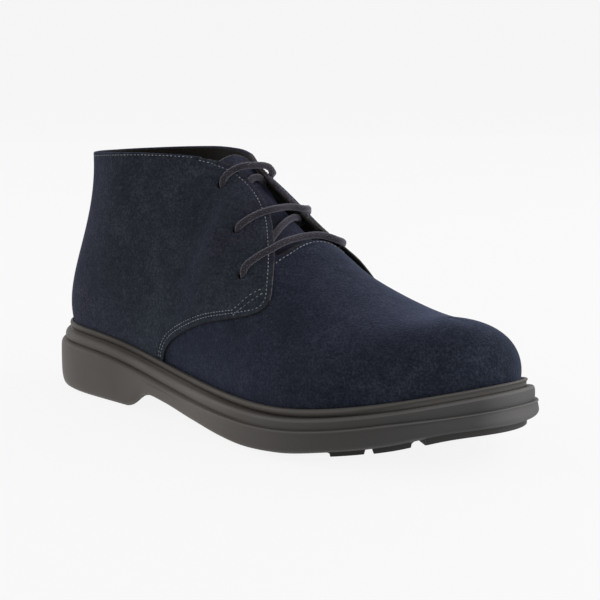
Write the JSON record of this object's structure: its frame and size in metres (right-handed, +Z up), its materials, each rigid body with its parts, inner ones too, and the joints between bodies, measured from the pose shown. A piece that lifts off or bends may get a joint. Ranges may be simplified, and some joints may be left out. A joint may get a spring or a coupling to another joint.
{
  "type": "chukka boot",
  "caption": "Plain ankle-high suede boot for a right foot: hollow upper laced over a tongue, plain rounded toe, and a banded rubber sole with a low heel and forefoot lugs.",
  "frame": {"origin": "on the floor, in the middle of the heel's ground face", "axes": "+X from heel to toe, +Y to the inner (medial) side of the foot, +Z up"},
  "size_m": [0.3014, 0.1108, 0.1229],
  "materials": {
    "upper": "navy suede, matt",
    "tongue": "navy suede, matt",
    "lace": "braided cord",
    "insole": "smooth, dark",
    "welt": "satin",
    "midsole": "satin",
    "outsole": "satin"
  },
  "bodies": {
    "root": {"upper": "upper", "tongue": "tongue", "lace": "lace", "insole": "insole", "welt": "welt", "midsole": "midsole", "outsole": "outsole"}
  },
  "joints": []
}
